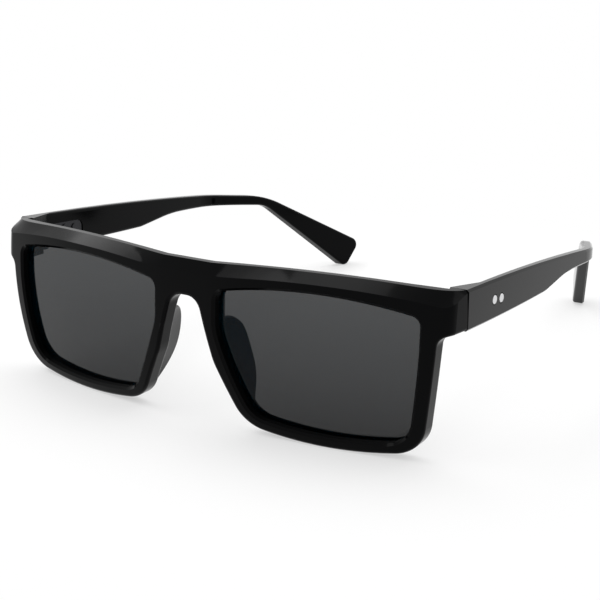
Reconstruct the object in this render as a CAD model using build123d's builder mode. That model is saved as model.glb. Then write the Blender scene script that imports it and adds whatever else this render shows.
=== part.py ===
from build123d import *
from math import acos, asin, degrees, sqrt, tan
import os

os.makedirs("parts", exist_ok=True)

# Sunglasses stand open on their rim bottoms and the tips of their ear hooks, on the plane z = 0.
# +Z is up, the front looks along -Y, the arms run back along +Y, and x = 0 is the plane of symmetry.
# "Left" is the wearer's left, at +X. Only left pieces are drawn; the right ones are their mirror twins.
# A depth is a distance behind the bridge's front face, which is the foremost part.

# Overall sizes
overall_depth = 161.3
bridge_y = -overall_depth / 2
front_half_width = 71.5
brow_height = 43.9
overrun = 3.0
fit = 0.05
pick_margin = 0.4
full_turn = 360

# Front: a barrel-shaped shell, curved in plan and in height
barrel_height = 25.5
barrel_radius = 115.0
bridge_half_width = 7.5
face_end_x = front_half_width - 2.9
face_end_depth = 8.357
face_crown = 1.845
lug_corner_depth = 11.3
rim_thickness = 5.0
rim_edge_radius = 0.9
rear_edge_radius = 0.9

# Lens openings, as seen at the front face
opening_inner_x = 9.05
opening_outer_x = front_half_width - 6.9
opening_corner_height = brow_height - 6.4
opening_top_height = brow_height - 3.3
opening_nasal_knee = brow_height - 16.9
opening_temporal_knee = brow_height - 14.9
opening_toe_height = 4.3
opening_toe_x = 18.8
opening_heel_x = front_half_width - 10.1
opening_floor_height = 2.2
opening_nasal_bulge = 0.7
opening_temporal_bulge = 0.5
corner_radius = 3.4
toe_radius = 8.0
heel_radius = 8.0
nasal_knee_radius = 14.0
temporal_knee_radius = 20.0
edge_bevel = 0.7
opening_rear_radius = 0.3

# Rim outline below the lugs
rim_toe_x = 16.6
rim_heel_x = front_half_width - 7.4
rim_corner_height = 2.6
rim_side_x = front_half_width - 3.4
rim_side_bulge = 0.6
rim_toe_radius = 10.5
rim_heel_radius = 9.5

# Bridge
arch_height = brow_height - 9.3
arch_half_width = 4.1
arch_radius = 4.4
arch_foot_x = 8.8
arch_foot_height = 18.4
arch_foot_radius = 16.0

# Brow: a straight bar whose front is cut to a bevel that turns along its length
brow_crown = 0.7
brow_end_drop = 0.7
brow_inner_depth = 2.6
brow_outer_depth = 13.0
brow_ledge = 1.7
brow_bar_height = 5.6
bevel_fall_inner = 3.1
bevel_fall_shares = (1.0, 0.84, 0.66, 0.615, 0.69, 0.92, 1.35)
bevel_place_shares = (0.0, 0.17, 0.347, 0.51, 0.69, 0.85, 1.0)

# End lugs, which carry the hinges
lug_rear_x = front_half_width + 0.8
lug_rear_depth = 16.2
lug_inner_x = front_half_width - 8.9
lug_shoulder_x = front_half_width - 3.6
lug_shoulder_height = brow_height - 2.1
lug_bottom = brow_height - 10.7
lug_under_radius = 2.8

# Lenses
lens_depth = 2.4
lens_thickness = 1.8
groove_depth = 1.1

# Nose pads, bonded to the back of the nasal walls
pad_top_height = brow_height - 15.4
pad_bottom_height = 6.6
pad_base_thickness = 1.8
pad_rear_thickness = 1.6
pad_reach = 7.3
pad_flare = 1.95
pad_edge_radius = 0.5
pad_height_shares = (0.0, 0.19, 0.37, 0.68, 0.83, 1.0)
pad_reach_shares = (0.1, 0.6, 0.9, 1.0, 0.93, 0.5)
pad_flare_shares = (0.0, 0.27, 0.58, 0.93, 1.0, 0.55)

# Temples, in plan
seam_gap = 0.2
temple_front_x = lug_rear_x + fit
temple_bend_x = front_half_width - 0.2
temple_bend_depth = 102.0
temple_tip_x = temple_bend_x - 23.6
temple_foot_thickness = 5.0
temple_foot_depth = 24.0
temple_thickness = 2.6
temple_bend_thickness = 3.1
temple_tip_thickness = 3.9
bend_radius = 30.0

# Temples, from the side
temple_front_top = brow_height - 0.6
temple_front_bottom = brow_height - 10.9
temple_top_crown = 1.15
temple_belly = 0.3
kink_depth = 65.9
kink_height = 30.3
kink_radius = 8.0
neck_depth = 80.9
neck_height = 31.9
neck_radius = 60.0
neck_crown = 0.65
hook_depth = 123.2
hook_top_height = 31.2
hook_bottom_height = 27.8
hook_top_radius = 34.0
hook_bottom_radius = 10.0
tip_top_radius = 3.0
tip_top_height = 7.2
tip_bottom_radius = 2.2
tip_bottom_depth = 155.9
temple_bevel = 0.6
temple_inner_radius = 0.9

# Hinges
hinge_x = front_half_width - 5.6
hinge_depth = 18.2
hinge_height = brow_height - 6.5
knuckle_radius = 1.4
knuckle_length = 2.2
knuckle_gap = 0.1
screw_radius = 0.7
screw_clearance = 0.05
screw_head_radius = 1.2
screw_head_height = 0.7
slot_width = 0.35
slot_depth = 0.3
joint_width = 1.8
anchor_width = 3.6
anchor_thickness = 1.3
anchor_depth = 3.2
leaf_thickness = 1.0
leaf_height = 5.0
leaf_length = 21.5
leaf_drop = 1.6
leaf_end_radius = 2.2

# Rivets
rivet_depth = 31.4
rivet_pitch = 4.1
rivet_height = brow_height - 6.8
rivet_drop = 0.6
rivet_radius = 0.8
rivet_head_radius = 1.15
rivet_head_height = 0.5
rivet_head_edge = 0.2
rivet_recess = 0.35
rivet_recess_radius = 1.4
rivet_foot_radius = 1.15
rivet_foot_height = 0.3

# Places and planes that follow from the sizes
face_end_slope = (face_end_depth + 4 * face_crown) / (face_end_x - bridge_half_width)
hinge_y = bridge_y + hinge_depth
seam_y = bridge_y + lug_rear_depth
barrel_y = bridge_y + barrel_radius
barrel_swing = degrees(asin((barrel_height + overrun) / (barrel_radius - lug_rear_depth)))
barrel_axis = Axis((0, barrel_y, barrel_height), (1, 0, 0))
start_plane = Plane(barrel_axis.position, x_dir=(1, 0, 0), z_dir=(0, 0, 1)).rotated((-barrel_swing, 0, 0))
front_view = Plane.XZ
temple_inner_x = temple_front_x - temple_thickness
knuckle_pitch = knuckle_length + knuckle_gap
stack_height = 3 * knuckle_length + 2 * knuckle_gap


def barrel_recess(height):
    """How far the barrel face lies behind its foremost line, at this height."""
    return barrel_radius - sqrt(barrel_radius**2 - (height - barrel_height) ** 2)


def face_depth(x):
    """Depth of the front face in plan, at mid height: a parabola close to the plan arc."""
    if x <= bridge_half_width:
        return 0.0
    if x > face_end_x:
        share = (x - face_end_x) / (front_half_width - face_end_x)
        straight = face_end_slope * (front_half_width - face_end_x)
        return face_end_depth + share * straight + share**2 * (lug_corner_depth - face_end_depth - straight)
    share = (x - bridge_half_width) / (face_end_x - bridge_half_width)
    return share * face_end_depth - 4 * face_crown * share * (1 - share)


def brow_line_depth(x):
    """Depth of the brow's straight top edge."""
    share = (x - bridge_half_width) / (front_half_width - bridge_half_width)
    return brow_inner_depth + max(share, 0) * (brow_outer_depth - brow_inner_depth)


def brow_line_height(x):
    """Height of the crowned brow line."""
    share = max((x - bridge_half_width) / (front_half_width - bridge_half_width), 0)
    return brow_height + 4 * brow_crown * share * (1 - share) - brow_end_drop * share


def plan_curve(setback):
    """Front face in plan, moved back; local y is measured from the barrel axis."""
    back = setback - barrel_radius
    middle_x = (bridge_half_width + face_end_x) / 2
    Line((0, back), (bridge_half_width, back))
    ThreePointArc(
        (bridge_half_width, back),
        (middle_x, face_end_depth / 2 - face_crown + back),
        (face_end_x, face_end_depth + back),
    )


def skin_edges(edges, setback):
    """Edges on the barrel face moved back by a setback, without its seams, the brow and the lug."""
    chosen = ShapeList()
    for edge in edges:
        start, middle, end = edge @ 0, edge @ 0.5, edge @ 1
        on_skin = all(
            abs(p.Y - bridge_y - barrel_recess(p.Z) - face_depth(p.X) - setback) < pick_margin
            for p in (start, middle, end)
        )
        on_seam = any(
            max(abs(start.X - x), abs(middle.X - x), abs(end.X - x)) < fit
            for x in (0, bridge_half_width, face_end_x)
        )
        beside_lug = middle.X > lug_inner_x and middle.Z > lug_bottom - fit
        if on_skin and not on_seam and not beside_lug and middle.Z < arch_height + fit:
            chosen.append(edge)
    return chosen


def draw_strip(front, rear):
    """Half of a strip in plan, between two setbacks from the barrel face."""
    plan_curve(front)
    Line((face_end_x, face_end_depth + front - barrel_radius), (face_end_x, face_end_depth + rear - barrel_radius))
    plan_curve(rear)
    Line((0, rear - barrel_radius), (0, front - barrel_radius))


def crowned_line(start, end, crown):
    """Arc between two points of a sketch, bulging upwards by its crown."""
    ThreePointArc(start, ((start[0] + end[0]) / 2, (start[1] + end[1]) / 2 + crown), end)


def nasal_edge(height):
    """x of the front outline beside the nose, at this height."""
    if height > arch_foot_height:
        share = (height - arch_foot_height) / (arch_height - arch_foot_height)
        return arch_foot_x + share * (arch_half_width - arch_foot_x)
    share = (height - rim_corner_height) / (arch_foot_height - rim_corner_height)
    return rim_toe_x + share * (arch_foot_x - rim_toe_x)


def cut_corners(low, high):
    """Corners of a cut at one station: all above the line through two points, carried past both."""
    reach = (high - low).normalized() * overrun
    start, end = low - reach, high + reach
    return [(start.X, start.Y), (end.X, end.Y), (end.X, end.Y + overrun), (start.X, end.Y + overrun)]


def bevel_corners(x, fall):
    """Cut of the brow bevel at one station: from the crease to the top line."""
    crease_height = brow_line_height(x) - fall
    crease = Vector(bridge_y + face_depth(x) + barrel_recess(crease_height), crease_height)
    return cut_corners(crease, Vector(bridge_y + brow_line_depth(x), brow_line_height(x)))


def rear_corners(x):
    """Cut behind the brow bar at one station, where the shell is deeper: falling back at 45 degrees."""
    top = Vector(bridge_y + brow_line_depth(x) + brow_ledge + fit, brow_line_height(x))
    return cut_corners(top + Vector(rim_thickness, -rim_thickness), top)


# Lens opening in the front view: x across, the sketch's y up
with BuildSketch() as opening:
    with BuildLine():
        ThreePointArc(
            (opening_inner_x, opening_corner_height),
            ((opening_inner_x + opening_outer_x) / 2, opening_top_height),
            (opening_outer_x, opening_corner_height),
        )
        Line((opening_outer_x, opening_corner_height), (opening_outer_x, opening_temporal_knee))
        ThreePointArc(
            (opening_outer_x, opening_temporal_knee),
            (
                (opening_outer_x + opening_heel_x) / 2 + opening_temporal_bulge,
                (opening_temporal_knee + opening_toe_height) / 2,
            ),
            (opening_heel_x, opening_toe_height),
        )
        ThreePointArc(
            (opening_heel_x, opening_toe_height),
            ((opening_heel_x + opening_toe_x) / 2, opening_floor_height),
            (opening_toe_x, opening_toe_height),
        )
        ThreePointArc(
            (opening_toe_x, opening_toe_height),
            (
                (opening_inner_x + opening_toe_x) / 2 - opening_nasal_bulge,
                (opening_nasal_knee + opening_toe_height) / 2,
            ),
            (opening_inner_x, opening_nasal_knee),
        )
        Line((opening_inner_x, opening_nasal_knee), (opening_inner_x, opening_corner_height))
    make_face()
    for corner_x, corner_height, radius in (
        (opening_inner_x, opening_corner_height, corner_radius),
        (opening_outer_x, opening_corner_height, corner_radius),
        (opening_outer_x, opening_temporal_knee, temporal_knee_radius),
        (opening_heel_x, opening_toe_height, heel_radius),
        (opening_toe_x, opening_toe_height, toe_radius),
        (opening_inner_x, opening_nasal_knee, nasal_knee_radius),
    ):
        fillet(opening.vertices().sort_by_distance((corner_x, corner_height))[0], radius=radius)


def draw_opening(grow):
    """Lens opening, grown or shrunk by an even margin, in the sketch at hand."""
    add(opening.sketch)
    offset(amount=grow)


# Front view outline of one half: bridge, rim, lug and brow
with BuildSketch(front_view) as half_outline:
    end_x = lug_rear_x + overrun
    middle_x = (bridge_half_width + front_half_width) / 2
    with BuildLine():
        Polyline(
            (0, brow_height),
            (0, arch_height),
            (arch_half_width, arch_height),
            (arch_foot_x, arch_foot_height),
            (rim_toe_x, rim_corner_height),
        )
        ThreePointArc(
            (rim_toe_x, rim_corner_height), ((rim_toe_x + rim_heel_x) / 2, 0), (rim_heel_x, rim_corner_height)
        )
        ThreePointArc(
            (rim_heel_x, rim_corner_height),
            ((rim_heel_x + rim_side_x) / 2 + rim_side_bulge, (rim_corner_height + lug_bottom) / 2),
            (rim_side_x, lug_bottom),
        )
        Polyline((rim_side_x, lug_bottom), (end_x, lug_bottom), (end_x, brow_line_height(end_x)))
        ThreePointArc(
            (end_x, brow_line_height(end_x)),
            (middle_x, brow_line_height(middle_x)),
            (bridge_half_width, brow_height),
        )
        Line((bridge_half_width, brow_height), (0, brow_height))
    make_face()
    for corner_x, corner_height, radius in (
        (arch_half_width, arch_height, arch_radius),
        (arch_foot_x, arch_foot_height, arch_foot_radius),
        (rim_toe_x, rim_corner_height, rim_toe_radius),
        (rim_heel_x, rim_corner_height, rim_heel_radius),
        (rim_side_x, lug_bottom, lug_under_radius),
    ):
        fillet(half_outline.vertices().sort_by_distance((corner_x, corner_height))[0], radius=radius)

# Lug of one half: the barrel face carried back to the hinge seat
side_slope = (lug_rear_x - front_half_width) / (lug_rear_depth - lug_corner_depth)
with BuildPart() as lug:
    with BuildSketch(start_plane):
        with BuildLine():
            Polyline(
                (front_half_width, lug_corner_depth - barrel_radius),
                (lug_rear_x + side_slope * overrun, lug_rear_depth + overrun - barrel_radius),
                (lug_inner_x, lug_rear_depth + overrun - barrel_radius),
                (lug_inner_x, lug_corner_depth - barrel_radius),
                close=True,
            )
        make_face()
    revolve(axis=barrel_axis, revolution_arc=2 * barrel_swing)
    with BuildSketch(front_view):
        with BuildLine():
            Polyline(
                (lug_inner_x - overrun, lug_bottom),
                (lug_rear_x + overrun, lug_bottom),
                (lug_rear_x + overrun, brow_height + overrun),
                (lug_shoulder_x, brow_height + overrun),
                (lug_shoulder_x, lug_shoulder_height),
                (lug_inner_x - overrun, lug_shoulder_height),
                close=True,
            )
        make_face()
    extrude(amount=overall_depth, both=True, mode=Mode.INTERSECT)
    with BuildSketch(Plane.XZ.offset(-seam_y)):
        Rectangle(2 * overall_depth, 2 * overall_depth)
    extrude(amount=-overall_depth, mode=Mode.SUBTRACT)

# Half of the front, solid: barrel shell, brow bar and lug inside the front outline
with BuildPart() as half_front:
    with BuildSketch(start_plane):
        with BuildLine():
            plan_curve(0)
            rear_depth = face_end_depth + rim_thickness
            TangentArc(
                (face_end_x, face_end_depth - barrel_radius),
                (front_half_width, lug_corner_depth - barrel_radius),
                tangent=(1, face_end_slope),
            )
            Polyline(
                (front_half_width, lug_corner_depth - barrel_radius),
                (front_half_width + side_slope * (rear_depth - lug_corner_depth), rear_depth - barrel_radius),
                (face_end_x, rear_depth - barrel_radius),
            )
            plan_curve(rim_thickness)
            Line((0, rim_thickness - barrel_radius), (0, -barrel_radius))
        make_face()
    revolve(axis=barrel_axis, revolution_arc=2 * barrel_swing)
    with BuildSketch(Plane((0, barrel_y, brow_height - brow_bar_height))):
        with BuildLine():
            core = rim_thickness / 2
            plan_curve(core)
            Polyline(
                (face_end_x, face_end_depth + core - barrel_radius),
                (face_end_x, brow_line_depth(face_end_x) + brow_ledge - barrel_radius),
                (bridge_half_width, brow_inner_depth + brow_ledge - barrel_radius),
                (0, brow_inner_depth + brow_ledge - barrel_radius),
                (0, core - barrel_radius),
            )
        make_face()
    extrude(amount=brow_bar_height + overrun)
    add(lug.part)
    extrude(half_outline.sketch, amount=overall_depth, both=True, mode=Mode.INTERSECT)

# The bevel along the brow: level over the bridge, turning along each side
with BuildPart() as bevel_cut:
    with BuildSketch(Plane.YZ):
        with BuildLine():
            Polyline(*bevel_corners(0, bevel_fall_inner), close=True)
        make_face()
    extrude(amount=bridge_half_width)
    for place, fall in zip(bevel_place_shares, bevel_fall_shares):
        x = bridge_half_width + place * (lug_rear_x + overrun - bridge_half_width)
        with BuildSketch(Plane.YZ.offset(x)):
            with BuildLine():
                Polyline(*bevel_corners(x, fall * bevel_fall_inner), close=True)
            make_face()
    loft()

# The cut behind the brow bar, where the shell is deeper than the bar
with BuildPart() as rear_cut:
    with BuildSketch(Plane.YZ):
        with BuildLine():
            Polyline(*rear_corners(0), close=True)
        make_face()
    extrude(amount=bridge_half_width)
    for x in (bridge_half_width, (bridge_half_width + lug_inner_x) / 2):
        with BuildSketch(Plane.YZ.offset(x)):
            with BuildLine():
                Polyline(*rear_corners(x), close=True)
            make_face()
    loft()

# Space behind each lens opening, and the grooved seat that holds the lens edge
with BuildPart() as lens_seat:
    with BuildSketch(start_plane):
        with BuildLine():
            draw_strip(lens_depth - fit, lens_depth + lens_thickness + fit)
        make_face()
    revolve(axis=barrel_axis, revolution_arc=2 * barrel_swing)
    with BuildSketch(front_view) as seat_outline:
        draw_opening(groove_depth - edge_bevel)
    extrude(seat_outline.sketch, amount=overall_depth, both=True, mode=Mode.INTERSECT)

# Anchor plate in the lug, with the two necks that reach the front knuckles
def draw_anchor(margin, mode):
    """Anchor plate and necks of the front hinge, grown by a margin, in the part at hand."""
    with Locations((hinge_x, seam_y - anchor_depth + anchor_thickness / 2, hinge_height)):
        Box(anchor_width + 2 * margin, anchor_thickness + 2 * margin, stack_height + 2 * margin, mode=mode)
    neck_length = hinge_y - seam_y + anchor_depth
    with Locations(
        (hinge_x, hinge_y - neck_length / 2, hinge_height + knuckle_pitch),
        (hinge_x, hinge_y - neck_length / 2, hinge_height - knuckle_pitch),
    ):
        Box(joint_width + 2 * margin, neck_length, knuckle_length + 2 * margin, mode=mode)


# Half of the front: rounded, opened for the lens, grooved and pocketed
with BuildPart() as half_frame:
    add(half_front.part)
    add(bevel_cut.part, mode=Mode.SUBTRACT)
    lug_foot = half_frame.edges().filter_by(
        lambda edge: (edge @ 0.5).X > front_half_width and abs((edge @ 0.5).Z - lug_bottom) < fit
    ).sort_by(Axis.Y)[:-1]
    fillet(skin_edges(half_frame.edges(), 0) + lug_foot, radius=rim_edge_radius)
    fillet(skin_edges(half_frame.edges(), rim_thickness), radius=rear_edge_radius)
    with BuildSketch(front_view) as aperture:
        draw_opening(-edge_bevel)
    extrude(aperture.sketch, amount=overall_depth, both=True, mode=Mode.SUBTRACT)
    rim_cut = half_frame.edges(Select.LAST)
    chamfer(skin_edges(rim_cut, 0), length=edge_bevel)
    fillet(skin_edges(rim_cut, rim_thickness), radius=opening_rear_radius)
    add(rear_cut.part, mode=Mode.SUBTRACT)
    add(lens_seat.part, mode=Mode.SUBTRACT)
    draw_anchor(fit, Mode.SUBTRACT)

with BuildPart() as front_frame:
    add(half_frame.part)
    mirror(about=Plane.YZ)

# Lenses: the same curved strip, inside the seat by the fit
with BuildPart() as left_lens:
    with BuildSketch(start_plane):
        with BuildLine():
            draw_strip(lens_depth, lens_depth + lens_thickness)
        make_face()
    revolve(axis=barrel_axis, revolution_arc=2 * barrel_swing)
    with BuildSketch(front_view) as lens_outline:
        draw_opening(groove_depth - edge_bevel - fit)
    extrude(lens_outline.sketch, amount=overall_depth, both=True, mode=Mode.INTERSECT)

# Nose pads: sections up the nasal wall, reaching back and flaring, seated on the rim's back face
with BuildPart() as left_nose_pad:
    for place, reach, flare in zip(pad_height_shares, pad_reach_shares, pad_flare_shares):
        height = pad_bottom_height + place * (pad_top_height - pad_bottom_height)
        base_x = nasal_edge(height) + rear_edge_radius
        rear_x = base_x + flare * pad_flare
        back = bridge_y + face_depth(base_x) + barrel_recess(height) + rim_thickness
        with BuildSketch(Plane.XY.offset(height)):
            with BuildLine():
                Polyline(
                    (base_x, back - rear_edge_radius / 2),
                    (rear_x, back + reach * pad_reach),
                    (rear_x + pad_rear_thickness, back + reach * pad_reach),
                    (base_x + pad_base_thickness, back - rear_edge_radius / 2),
                    close=True,
                )
            make_face()
    loft()
    fillet(left_nose_pad.edges().group_by(Axis.Y)[-1], radius=pad_edge_radius)
    add(half_frame.part, mode=Mode.SUBTRACT)

# Temple in plan: the arm, then the hook that bends inwards
hook = Vector(temple_tip_x - temple_bend_x, overall_depth - temple_bend_depth).normalized()
hook_inward = Vector(-hook.Y, hook.X) * temple_tip_thickness
arm_front = Vector(temple_front_x, seam_y + seam_gap)
outer_bend = Vector(temple_bend_x, bridge_y + temple_bend_depth)
inner_bend = outer_bend - Vector(temple_bend_thickness, temple_bend_thickness * tan(acos(hook.Y) / 2))
outer_tip = Vector(temple_tip_x, bridge_y + overall_depth) + hook * overrun
with BuildSketch(Plane.XY.offset(-overrun)) as temple_plan:
    with BuildLine():
        Polyline(
            (arm_front.X, arm_front.Y),
            (outer_bend.X, outer_bend.Y),
            (outer_tip.X, outer_tip.Y),
            (outer_tip.X + hook_inward.X, outer_tip.Y + hook_inward.Y),
            (inner_bend.X, inner_bend.Y),
            (temple_inner_x, bridge_y + temple_foot_depth),
            (arm_front.X - temple_foot_thickness, arm_front.Y),
            close=True,
        )
    make_face()
    for corner, radius in ((outer_bend, bend_radius), (inner_bend, bend_radius - temple_bend_thickness)):
        fillet(temple_plan.vertices().sort_by_distance((corner.X, corner.Y))[0], radius=radius)

# Temple from the side: tapering arm, neck and flared hook
with BuildSketch(Plane.YZ) as temple_side:
    with BuildLine():
        Line((bridge_y + hook_depth, hook_top_height), (bridge_y + hook_depth, hook_bottom_height))
        CenterArc((bridge_y + overall_depth - tip_top_radius, tip_top_height), tip_top_radius, 0, full_turn)
        CenterArc((bridge_y + tip_bottom_depth, tip_bottom_radius), tip_bottom_radius, 0, full_turn)
    make_hull()
    front = seam_y + seam_gap
    with BuildLine():
        Line((front, temple_front_bottom), (front, temple_front_top))
        crowned_line((front, temple_front_top), (bridge_y + hook_depth, hook_top_height), temple_top_crown)
        Line((bridge_y + hook_depth, hook_top_height), (bridge_y + hook_depth, hook_bottom_height))
        crowned_line((bridge_y + hook_depth, hook_bottom_height), (bridge_y + neck_depth, neck_height), neck_crown)
        Line((bridge_y + neck_depth, neck_height), (bridge_y + kink_depth, kink_height))
        crowned_line((bridge_y + kink_depth, kink_height), (front, temple_front_bottom), -temple_belly)
    make_face()
    for place, height, radius in (
        (hook_depth, hook_top_height, hook_top_radius),
        (hook_depth, hook_bottom_height, hook_bottom_radius),
        (neck_depth, neck_height, neck_radius),
        (kink_depth, kink_height, kink_radius),
    ):
        corner = temple_side.vertices().sort_by_distance((bridge_y + place, height))[0]
        fillet(corner, radius=radius)

# Leaf plate of the temple's half of the hinge, seen from the side: sloping, with a round end
with BuildSketch() as leaf_outline:
    start = hinge_y - joint_width / 2
    with BuildLine():
        Polyline(
            (start + leaf_length, hinge_height - leaf_drop - leaf_height / 2),
            (start, hinge_height - leaf_height / 2),
            (start, hinge_height + leaf_height / 2),
            (start + leaf_length, hinge_height - leaf_drop + leaf_height / 2),
            close=True,
        )
    make_face()
    fillet(leaf_outline.vertices().sort_by(Axis.X)[-2:], radius=leaf_end_radius)


def rivet_places():
    """Depth along the arm and height of each rivet."""
    return [
        (bridge_y + rivet_depth + step * rivet_pitch, rivet_height - step * rivet_drop) for step in (0, 1)
    ]


def outer_face_x(y):
    """x of the arm's outer face."""
    share = (y - arm_front.Y) / (outer_bend.Y - arm_front.Y)
    return arm_front.X + share * (outer_bend.X - arm_front.X)


with BuildPart() as left_temple:
    extrude(temple_plan.sketch, amount=brow_height + 2 * overrun)
    extrude(temple_side.sketch, amount=front_half_width + overrun, mode=Mode.INTERSECT)
    middle_y = (arm_front.Y + outer_bend.Y) / 2
    edges = left_temple.edges()
    outer_top = edges.sort_by_distance((outer_face_x(middle_y), middle_y, temple_front_top))[0]
    chamfer(outer_top, length=temple_bevel)
    inner_edges = left_temple.faces().filter_by(
        lambda face: face.normal_at(face.center()).X < -hook.Y / 2
    ).edges().filter_by(lambda edge: edge.center().Y > hinge_y + leaf_length)
    fillet(
        inner_edges.filter_by(lambda edge: sum(edge.is_same(other) for other in inner_edges) == 1),
        radius=temple_inner_radius,
    )
    with BuildSketch(Plane.YZ.offset(temple_inner_x - overrun)):
        add(leaf_outline.sketch)
        offset(amount=fit)
    extrude(amount=overrun + leaf_thickness + fit, mode=Mode.SUBTRACT)
    for y, z in rivet_places():
        with BuildSketch(Plane((outer_face_x(y) - rivet_recess, y, z), x_dir=(0, 1, 0), z_dir=(1, 0, 0))):
            Circle(rivet_recess_radius)
        extrude(amount=overrun, mode=Mode.SUBTRACT)
        with BuildSketch(Plane((temple_inner_x, y, z), x_dir=(0, 1, 0), z_dir=(1, 0, 0))):
            Circle(rivet_radius + fit)
        extrude(amount=temple_foot_thickness, mode=Mode.SUBTRACT)

# Hinge half set in the lug: anchor, necks and the outer two knuckles
with BuildPart() as left_front_hinge:
    draw_anchor(0, Mode.ADD)
    with Locations(
        (hinge_x, hinge_y, hinge_height + knuckle_pitch), (hinge_x, hinge_y, hinge_height - knuckle_pitch)
    ):
        Cylinder(knuckle_radius, knuckle_length)
        Cylinder(screw_radius + screw_clearance, 2 * knuckle_length, mode=Mode.SUBTRACT)

# Hinge half riveted to the arm: middle knuckle, its arm and the leaf plate
with BuildPart() as left_temple_hinge:
    with BuildSketch(Plane.YZ.offset(temple_inner_x)):
        add(leaf_outline.sketch)
    extrude(amount=leaf_thickness)
    arm_length = temple_inner_x + leaf_thickness - hinge_x
    with Locations((hinge_x + arm_length / 2, hinge_y, hinge_height)):
        Box(arm_length, joint_width, knuckle_length)
    with Locations((hinge_x, hinge_y, hinge_height)):
        Cylinder(knuckle_radius, knuckle_length)
        Cylinder(screw_radius + screw_clearance, 2 * knuckle_length, mode=Mode.SUBTRACT)
    for y, z in rivet_places():
        with BuildSketch(Plane((temple_inner_x - overrun, y, z), x_dir=(0, 1, 0), z_dir=(1, 0, 0))):
            Circle(rivet_radius + fit)
        extrude(amount=leaf_thickness + 2 * overrun, mode=Mode.SUBTRACT)

# Hinge screw: shank through the three knuckles, slotted head on the top one
with BuildPart() as left_hinge_screw:
    with Locations((hinge_x, hinge_y, hinge_height)):
        Cylinder(screw_radius, stack_height)
    stack_top = hinge_height + stack_height / 2
    with Locations((hinge_x, hinge_y, stack_top)):
        Cylinder(screw_head_radius, screw_head_height, align=(Align.CENTER, Align.CENTER, Align.MIN))
    with Locations((hinge_x, hinge_y, stack_top + screw_head_height)):
        Box(3 * screw_head_radius, slot_width, 2 * slot_depth, mode=Mode.SUBTRACT)


def build_rivet(y, z):
    """Rivet through the arm and the leaf: peened foot inside, shank, low head in its recess."""
    with BuildPart(Plane((temple_inner_x, y, z), x_dir=(0, 1, 0), z_dir=(1, 0, 0))) as rivet:
        shank = outer_face_x(y) - rivet_recess - temple_inner_x
        Cylinder(rivet_foot_radius, rivet_foot_height, align=(Align.CENTER, Align.CENTER, Align.MAX))
        Cylinder(rivet_radius, shank, align=(Align.CENTER, Align.CENTER, Align.MIN))
        with Locations((0, 0, shank)):
            Cylinder(rivet_head_radius, rivet_head_height, align=(Align.CENTER, Align.CENTER, Align.MIN))
        fillet(rivet.edges().group_by(Axis.X)[-1], radius=rivet_head_edge)
    return rivet


left_front_rivet, left_rear_rivet = [build_rivet(y, z) for y, z in rivet_places()]

# The front stands as it is; every other piece has a mirror twin on the right
front_frame.part.label = "front_frame"
export_step(front_frame.part, "parts/front_frame.step")
for name, piece in (
    ("lens", left_lens),
    ("nose_pad", left_nose_pad),
    ("temple", left_temple),
    ("front_hinge", left_front_hinge),
    ("temple_hinge", left_temple_hinge),
    ("hinge_screw", left_hinge_screw),
    ("front_rivet", left_front_rivet),
    ("rear_rivet", left_rear_rivet),
):
    with BuildPart() as twin:
        add(piece.part)
        mirror(about=Plane.YZ, mode=Mode.REPLACE)
    piece.part.label = "left_" + name
    twin.part.label = "right_" + name
    export_step(piece.part, "parts/left_" + name + ".step")
    export_step(twin.part, "parts/right_" + name + ".step")
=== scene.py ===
"""Flat top sunglasses: gloss black front and arms, smoke lenses, plated hinges and rivets."""

import bpy
from bpy.props import FloatProperty, FloatVectorProperty, PointerProperty
from bpy.types import Operator, Panel, PropertyGroup
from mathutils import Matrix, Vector


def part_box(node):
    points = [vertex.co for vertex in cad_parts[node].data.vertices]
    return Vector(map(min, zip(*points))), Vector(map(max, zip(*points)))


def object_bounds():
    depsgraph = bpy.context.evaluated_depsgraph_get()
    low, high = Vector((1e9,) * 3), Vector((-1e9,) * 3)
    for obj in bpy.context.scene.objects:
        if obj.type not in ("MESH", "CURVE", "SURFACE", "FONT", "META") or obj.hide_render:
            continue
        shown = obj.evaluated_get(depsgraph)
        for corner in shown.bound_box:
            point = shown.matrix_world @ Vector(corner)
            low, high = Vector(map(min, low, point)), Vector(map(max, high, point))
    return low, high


bl_info = {
    "name": "Flat Top Sunglasses",
    "version": (1, 0, 0),
    "blender": (4, 5, 0),
    "location": "View3D > Sidebar > Sunglasses",
    "description": "Finishes, lamps, floor and camera for a pair of flat top sunglasses",
    "category": "Object",
}

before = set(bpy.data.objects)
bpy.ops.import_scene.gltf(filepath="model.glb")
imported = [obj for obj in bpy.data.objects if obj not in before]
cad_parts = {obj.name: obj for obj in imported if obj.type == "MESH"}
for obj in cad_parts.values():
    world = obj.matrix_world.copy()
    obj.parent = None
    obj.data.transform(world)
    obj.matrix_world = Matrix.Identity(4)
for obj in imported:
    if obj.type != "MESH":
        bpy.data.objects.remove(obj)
cad_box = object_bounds()
SIDES = ("left", "right")

# Folds steeper than this angle, in radians, stay crisp
CREASE = 0.5
# Span of a noise that its pattern really fills
NOISE_SPAN = (0.3, 0.7)
# Low index of the skin and of the coated lenses: both reflect little, even at a slant
PLASTIC_IOR = 1.22
LENS_IOR = 1.2
# How far the roughness of the plating varies, the height of its grain, and how deep its outer side reaches
METAL_HAZE = 0.08
GRAIN_HEIGHT = 0.000004
OUTER_DEPTH = 0.0015
# Place and size of each lamp, and the point that both light
TOP_LAMP = ((0.05, 0.28, 0.75), (0.9, 0.6))
SIDE_LAMP = ((-0.55, -0.12, 0.75), (1.2, 0.4))
LAMP_AIM = (0, 0, 0.02)
# Distance from the middle of the floor at which its shadows start to fade
SHADOW_START = 0.08
SENSOR_WIDTH = 36
CLIP_START = 0.01


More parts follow.
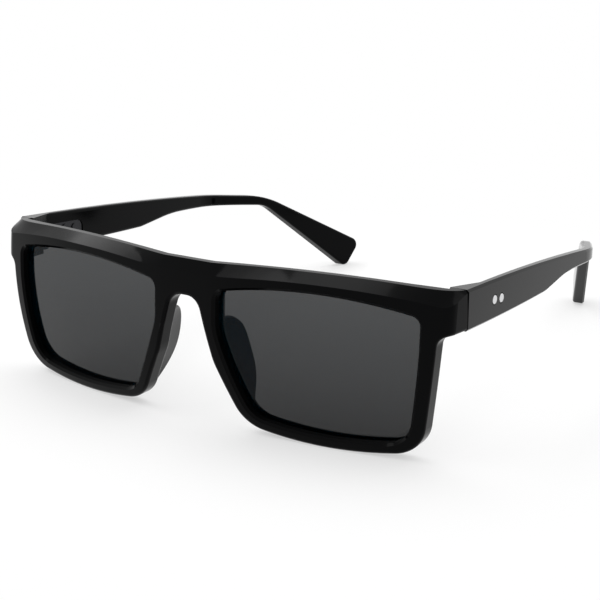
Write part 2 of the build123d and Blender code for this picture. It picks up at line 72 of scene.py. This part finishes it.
class PlasticFinish(PropertyGroup):
    """Gloss black plastic of the front, the nose pads and the arms."""

    color: FloatVectorProperty(
        name="Color", description="Colour of the moulded plastic", subtype="COLOR", default=(0.0012, 0.0013, 0.0015)
    )
    roughness: FloatProperty(
        name="Roughness", description="Mean roughness of the polished skin", default=0.1, min=0, max=1
    )
    haze: FloatProperty(
        name="Haze", description="How far the roughness varies over the skin", default=0.03, min=0, max=0.5
    )
    haze_size: FloatProperty(
        name="Haze Size", description="Size of the hazier patches", default=0.018, unit="LENGTH"
    )
    sheen_cut: FloatProperty(
        name="Reflection", description="Share of the plain reflection that the skin shows face on", default=0.35,
        min=0, max=1,
    )
    ripple: FloatProperty(
        name="Ripple", description="Height of the slow ripple of the skin", default=0.00001, unit="LENGTH"
    )


class LensTint(PropertyGroup):
    """Smoke tint of the lenses, a little lighter at the top."""

    top: FloatVectorProperty(
        name="Top", description="Tint along the top of a lens", subtype="COLOR", default=(0.0, 0.004, 0.007)
    )
    bottom: FloatVectorProperty(
        name="Bottom", description="Tint along the bottom of a lens", subtype="COLOR", default=(0.0, 0.001, 0.002)
    )
    top_opacity: FloatProperty(
        name="Top Opacity", description="Share of light that each face stops along the top", default=0.735,
        min=0, max=1,
    )
    bottom_opacity: FloatProperty(
        name="Bottom Opacity", description="Share of light that each face stops along the bottom", default=0.81,
        min=0, max=1,
    )
    roughness: FloatProperty(
        name="Roughness", description="Roughness of the polished faces", default=0.03, min=0, max=1
    )


class MetalFinish(PropertyGroup):
    """Plated metal of the hinges, screws and rivets."""

    hinge_color: FloatVectorProperty(
        name="Hinge Color", description="Plating of hinges and screws", subtype="COLOR", default=(0.035, 0.035, 0.038)
    )
    rivet_color: FloatVectorProperty(
        name="Rivet Color", description="Plating of the rivets", subtype="COLOR", default=(0.68, 0.68, 0.69)
    )
    roughness: FloatProperty(
        name="Roughness", description="Mean roughness of the plating", default=0.3, min=0, max=1
    )
    grain: FloatProperty(
        name="Grain", description="Size of the fine grain of the metal", default=0.0004, unit="LENGTH"
    )


class StageSettings(PropertyGroup):
    """Floor, lamps and camera."""

    floor_size: FloatProperty(
        name="Floor Size", description="Width of the square floor", default=8.0, unit="LENGTH"
    )
    floor_color: FloatVectorProperty(
        name="Floor Color", description="Colour of the floor", subtype="COLOR", default=(0.92, 0.92, 0.92)
    )
    floor_glow: FloatProperty(
        name="Floor Glow", description="Share of the floor's white by the object that no shadow darkens", default=0.5,
        min=0, max=1,
    )
    shadow_reach: FloatProperty(
        name="Shadow Reach", description="Distance from the object at which shadows have faded out", default=0.18,
        unit="LENGTH",
    )
    room_light: FloatProperty(
        name="Room Light", description="Strength of the even light from all round", default=0.72
    )
    top_power: FloatProperty(
        name="Top Lamp", description="Power of the wide lamp overhead", default=2.2, unit="POWER"
    )
    side_power: FloatProperty(
        name="Side Lamp", description="Power of the lamp that lights the brow and the arm", default=3.4, unit="POWER"
    )
    camera_place: FloatVectorProperty(
        name="Camera Place", description="Where the camera stands", subtype="TRANSLATION", unit="LENGTH",
        default=(0.19133, -0.31643, 0.12528),
    )
    camera_aim: FloatVectorProperty(
        name="Camera Aim", description="Point that the camera looks at", subtype="TRANSLATION", unit="LENGTH",
        default=(0.0, -0.00845, 0.022),
    )
    lens_length: FloatProperty(
        name="Focal Length", description="Focal length in millimetres on a 36 mm sensor", default=74.4
    )
    shift: FloatVectorProperty(
        name="Shift", description="Shift of the picture, in shares of its width", size=2, default=(-0.0533, -0.0375)
    )


def new_material(name):
    """A material with one principled surface. Returns the material, its nodes, its links and the surface."""
    material = bpy.data.materials.new(name)
    material.use_nodes = True
    nodes, links = material.node_tree.nodes, material.node_tree.links
    return material, nodes, links, nodes["Principled BSDF"]


def noise(nodes, links, scale, detail):
    """Noise on Object coordinates, so it stays with the piece."""
    place = nodes.new("ShaderNodeTexCoord")
    texture = nodes.new("ShaderNodeTexNoise")
    texture.inputs["Scale"].default_value = scale
    texture.inputs["Detail"].default_value = detail
    links.new(place.outputs["Object"], texture.inputs["Vector"])
    return texture


def spread(nodes, links, source, low, high):
    """Maps the span of a noise to a range of values."""
    band = nodes.new("ShaderNodeMapRange")
    for socket, value in zip(("From Min", "From Max", "To Min", "To Max"), (*NOISE_SPAN, low, high)):
        band.inputs[socket].default_value = value
    links.new(source, band.inputs["Value"])
    return band.outputs["Result"]


def bump(nodes, links, height, distance, surface):
    """Bump of a height pattern on a surface."""
    relief = nodes.new("ShaderNodeBump")
    relief.inputs["Distance"].default_value = distance
    links.new(height, relief.inputs["Height"])
    links.new(relief.outputs["Normal"], surface.inputs["Normal"])


def dress(names, material):
    """Gives CAD pieces a material, and smooth shading with crisp folds."""
    for name in names:
        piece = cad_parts[name]
        piece.data.materials.clear()
        piece.data.materials.append(material)
        piece.data.polygons.foreach_set("use_smooth", [True] * len(piece.data.polygons))
        split = piece.modifiers.new("Crease", "EDGE_SPLIT")
        split.split_angle = CREASE


class SUNGLASSES_OT_dress_plastic(Operator):
    """Gloss black plastic on the front, the nose pads and the arms"""

    bl_idname = "sunglasses.dress_plastic"
    bl_label = "Dress Front And Arms"

    def execute(self, context):
        finish = context.scene.sunglasses_plastic
        material, nodes, links, surface = new_material("gloss_black_plastic")
        surface.inputs["Base Color"].default_value = (*finish.color, 1)
        surface.inputs["IOR"].default_value = PLASTIC_IOR
        surface.inputs["Specular Tint"].default_value = (finish.sheen_cut,) * 3 + (1,)
        haze = noise(nodes, links, 1 / finish.haze_size, 3)
        links.new(
            spread(nodes, links, haze.outputs["Fac"], finish.roughness - finish.haze, finish.roughness + finish.haze),
            surface.inputs["Roughness"],
        )
        ripple = noise(nodes, links, 0.5 / finish.haze_size, 1)
        bump(nodes, links, ripple.outputs["Fac"], finish.ripple, surface)
        dress(["front_frame"] + [side + part for side in SIDES for part in ("_nose_pad", "_temple")], material)
        return {"FINISHED"}


class SUNGLASSES_OT_dress_lenses(Operator):
    """Smoke tint on the lenses, fading from top to bottom"""

    bl_idname = "sunglasses.dress_lenses"
    bl_label = "Dress Lenses"

    def execute(self, context):
        finish = context.scene.sunglasses_lens
        material, nodes, links, surface = new_material("smoke_lens")
        low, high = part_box("left_lens")
        place = nodes.new("ShaderNodeTexCoord")
        axes = nodes.new("ShaderNodeSeparateXYZ")
        rise = nodes.new("ShaderNodeMapRange")
        rise.inputs["From Min"].default_value = low[2]
        rise.inputs["From Max"].default_value = high[2]
        ramp = nodes.new("ShaderNodeValToRGB")
        ramp.color_ramp.elements[0].color = (*finish.bottom, 1)
        ramp.color_ramp.elements[1].color = (*finish.top, 1)
        links.new(place.outputs["Object"], axes.inputs["Vector"])
        links.new(axes.outputs["Z"], rise.inputs["Value"])
        links.new(rise.outputs["Result"], ramp.inputs["Fac"])
        links.new(ramp.outputs["Color"], surface.inputs["Base Color"])
        density = nodes.new("ShaderNodeMapRange")
        density.inputs["To Min"].default_value = finish.bottom_opacity
        density.inputs["To Max"].default_value = finish.top_opacity
        links.new(rise.outputs["Result"], density.inputs["Value"])
        links.new(density.outputs["Result"], surface.inputs["Alpha"])
        surface.inputs["Roughness"].default_value = finish.roughness
        surface.inputs["IOR"].default_value = LENS_IOR
        dress([side + "_lens" for side in SIDES], material)
        return {"FINISHED"}


class SUNGLASSES_OT_dress_metal(Operator):
    """Plated metal on the hinges, the screws and the rivets"""

    bl_idname = "sunglasses.dress_metal"
    bl_label = "Dress Hinges And Rivets"

    def execute(self, context):
        finish = context.scene.sunglasses_metal
        for name, color, parts in (
            ("hinge_plating", finish.hinge_color, ("_front_hinge", "_temple_hinge", "_hinge_screw")),
            ("rivet_plating", finish.rivet_color, ("_front_rivet", "_rear_rivet")),
        ):
            material, nodes, links, surface = new_material(name)
            self.plating(nodes, links, surface, color, finish.hinge_color)
            surface.inputs["Metallic"].default_value = 1
            grain = noise(nodes, links, 1 / finish.grain, 2)
            links.new(
                spread(
                    nodes, links, grain.outputs["Fac"], finish.roughness - METAL_HAZE, finish.roughness + METAL_HAZE
                ),
                surface.inputs["Roughness"],
            )
            bump(nodes, links, grain.outputs["Fac"], GRAIN_HEIGHT, surface)
            dress([side + part for side in SIDES for part in parts], material)
        return {"FINISHED"}

    def plating(self, nodes, links, surface, outside, inside):
        """One colour on the outer side of the arms and another on their inner side."""
        place = nodes.new("ShaderNodeTexCoord")
        axes = nodes.new("ShaderNodeSeparateXYZ")
        width = nodes.new("ShaderNodeMath")
        width.operation = "ABSOLUTE"
        beyond = nodes.new("ShaderNodeMath")
        beyond.operation = "GREATER_THAN"
        beyond.inputs[1].default_value = cad_box[1][0] - OUTER_DEPTH
        mix = nodes.new("ShaderNodeMix")
        mix.data_type = "RGBA"
        mix.inputs["A"].default_value = (*inside, 1)
        mix.inputs["B"].default_value = (*outside, 1)
        links.new(place.outputs["Object"], axes.inputs["Vector"])
        links.new(axes.outputs["X"], width.inputs[0])
        links.new(width.outputs["Value"], beyond.inputs[0])
        links.new(beyond.outputs["Value"], mix.inputs["Factor"])
        links.new(mix.outputs["Result"], surface.inputs["Base Color"])


class SUNGLASSES_OT_build_stage(Operator):
    """White floor, even room light, two wide soft lamps and the camera"""

    bl_idname = "sunglasses.build_stage"
    bl_label = "Build Stage"

    def execute(self, context):
        stage = context.scene.sunglasses_stage
        half = stage.floor_size / 2
        sheet = bpy.data.meshes.new("floor")
        sheet.from_pydata(
            [(-half, -half, 0), (half, -half, 0), (half, half, 0), (-half, half, 0)], [], [(0, 1, 2, 3)]
        )
        floor = bpy.data.objects.new("floor", sheet)
        context.scene.collection.objects.link(floor)
        sheet.materials.append(self.floor_material(stage))
        self.room(context.scene, stage)
        self.lamp(context.scene, "top_lamp", *TOP_LAMP, stage.top_power)
        self.lamp(context.scene, "side_lamp", *SIDE_LAMP, stage.side_power)
        view = bpy.data.cameras.new("camera")
        camera = bpy.data.objects.new("camera", view)
        context.scene.collection.objects.link(camera)
        camera.location = stage.camera_place
        aim = Vector(stage.camera_aim) - Vector(stage.camera_place)
        camera.rotation_euler = aim.to_track_quat("-Z", "Y").to_euler()
        view.lens = stage.lens_length
        view.sensor_width = SENSOR_WIDTH
        view.shift_x, view.shift_y = stage.shift
        view.clip_start = CLIP_START
        context.scene.camera = camera
        context.scene.view_settings.view_transform = "Standard"
        return {"FINISHED"}

    def seen(self, nodes, links):
        """1 for camera, glossy and transmission rays, 0 for the light that falls on the object."""
        path = nodes.new("ShaderNodeLightPath")
        total = path.outputs["Is Camera Ray"]
        for name in ("Is Glossy Ray", "Is Transmission Ray"):
            either = nodes.new("ShaderNodeMath")
            either.operation = "MAXIMUM"
            links.new(total, either.inputs[0])
            links.new(path.outputs[name], either.inputs[1])
            total = either.outputs[0]
        return total

    def floor_material(self, stage):
        """Pale floor: a matt part that takes the shadow, and a glow that keeps the rest white."""
        material, nodes, links, surface = new_material("pale_floor")
        surface.inputs["Base Color"].default_value = (*stage.floor_color, 1)
        surface.inputs["Roughness"].default_value = 1
        surface.inputs["Specular IOR Level"].default_value = 0
        glow = nodes.new("ShaderNodeEmission")
        glow.inputs["Strength"].default_value = 1
        mix = nodes.new("ShaderNodeMixShader")
        place = nodes.new("ShaderNodeTexCoord")
        distance = nodes.new("ShaderNodeVectorMath")
        distance.operation = "LENGTH"
        fade = nodes.new("ShaderNodeMapRange")
        fade.interpolation_type = "SMOOTHSTEP"
        fade.inputs["From Min"].default_value = SHADOW_START
        fade.inputs["From Max"].default_value = stage.shadow_reach
        fade.inputs["To Min"].default_value = stage.floor_glow
        share = nodes.new("ShaderNodeMath")
        share.operation = "MULTIPLY"
        links.new(place.outputs["Object"], distance.inputs[0])
        links.new(distance.outputs["Value"], fade.inputs["Value"])
        links.new(fade.outputs["Result"], share.inputs[1])
        links.new(self.seen(nodes, links), share.inputs[0])
        links.new(share.outputs[0], mix.inputs["Fac"])
        links.new(surface.outputs["BSDF"], mix.inputs[1])
        links.new(glow.outputs["Emission"], mix.inputs[2])
        links.new(mix.outputs["Shader"], nodes["Material Output"].inputs["Surface"])
        return material

    def room(self, scene, stage):
        """Even white all round, at full strength where it is seen."""
        world = bpy.data.worlds.new("room")
        world.use_nodes = True
        nodes, links = world.node_tree.nodes, world.node_tree.links
        light = nodes["Background"]
        light.inputs["Color"].default_value = (1, 1, 1, 1)
        light.inputs["Strength"].default_value = stage.room_light
        white = nodes.new("ShaderNodeBackground")
        white.inputs["Color"].default_value = (1, 1, 1, 1)
        white.inputs["Strength"].default_value = 1
        mix = nodes.new("ShaderNodeMixShader")
        links.new(self.seen(nodes, links), mix.inputs["Fac"])
        links.new(light.outputs["Background"], mix.inputs[1])
        links.new(white.outputs["Background"], mix.inputs[2])
        links.new(mix.outputs["Shader"], nodes["World Output"].inputs["Surface"])
        scene.world = world

    def lamp(self, scene, name, place, size, power):
        """Rectangular soft lamp at a place, turned to the object."""
        light = bpy.data.lights.new(name, "AREA")
        light.shape = "RECTANGLE"
        light.size, light.size_y = size
        light.energy = power
        lamp = bpy.data.objects.new(name, light)
        lamp.location = place
        lamp.rotation_euler = (Vector(LAMP_AIM) - Vector(place)).to_track_quat("-Z", "Y").to_euler()
        scene.collection.objects.link(lamp)


class SUNGLASSES_PT_panel(Panel):
    """Finishes and stage of the sunglasses"""

    bl_label = "Sunglasses"
    bl_idname = "SUNGLASSES_PT_panel"
    bl_space_type = "VIEW_3D"
    bl_region_type = "UI"
    bl_category = "Sunglasses"

    def draw(self, context):
        for group, operator in (
            (context.scene.sunglasses_plastic, SUNGLASSES_OT_dress_plastic),
            (context.scene.sunglasses_lens, SUNGLASSES_OT_dress_lenses),
            (context.scene.sunglasses_metal, SUNGLASSES_OT_dress_metal),
            (context.scene.sunglasses_stage, SUNGLASSES_OT_build_stage),
        ):
            box = self.layout.box()
            box.operator(operator.bl_idname)
            for name in group.__annotations__:
                box.prop(group, name)


GROUPS = (
    ("sunglasses_plastic", PlasticFinish),
    ("sunglasses_lens", LensTint),
    ("sunglasses_metal", MetalFinish),
    ("sunglasses_stage", StageSettings),
)
CLASSES = (
    *(group for _, group in GROUPS),
    SUNGLASSES_OT_dress_plastic,
    SUNGLASSES_OT_dress_lenses,
    SUNGLASSES_OT_dress_metal,
    SUNGLASSES_OT_build_stage,
    SUNGLASSES_PT_panel,
)


def register():
    for cls in CLASSES:
        bpy.utils.register_class(cls)
    for name, group in GROUPS:
        setattr(bpy.types.Scene, name, PointerProperty(type=group))


def unregister():
    for name, _ in GROUPS:
        delattr(bpy.types.Scene, name)
    for cls in reversed(CLASSES):
        bpy.utils.unregister_class(cls)


def main():
    register()
    bpy.ops.sunglasses.dress_plastic()
    bpy.ops.sunglasses.dress_lenses()
    bpy.ops.sunglasses.dress_metal()
    bpy.ops.sunglasses.build_stage()


if __name__ == "__main__":
    main()
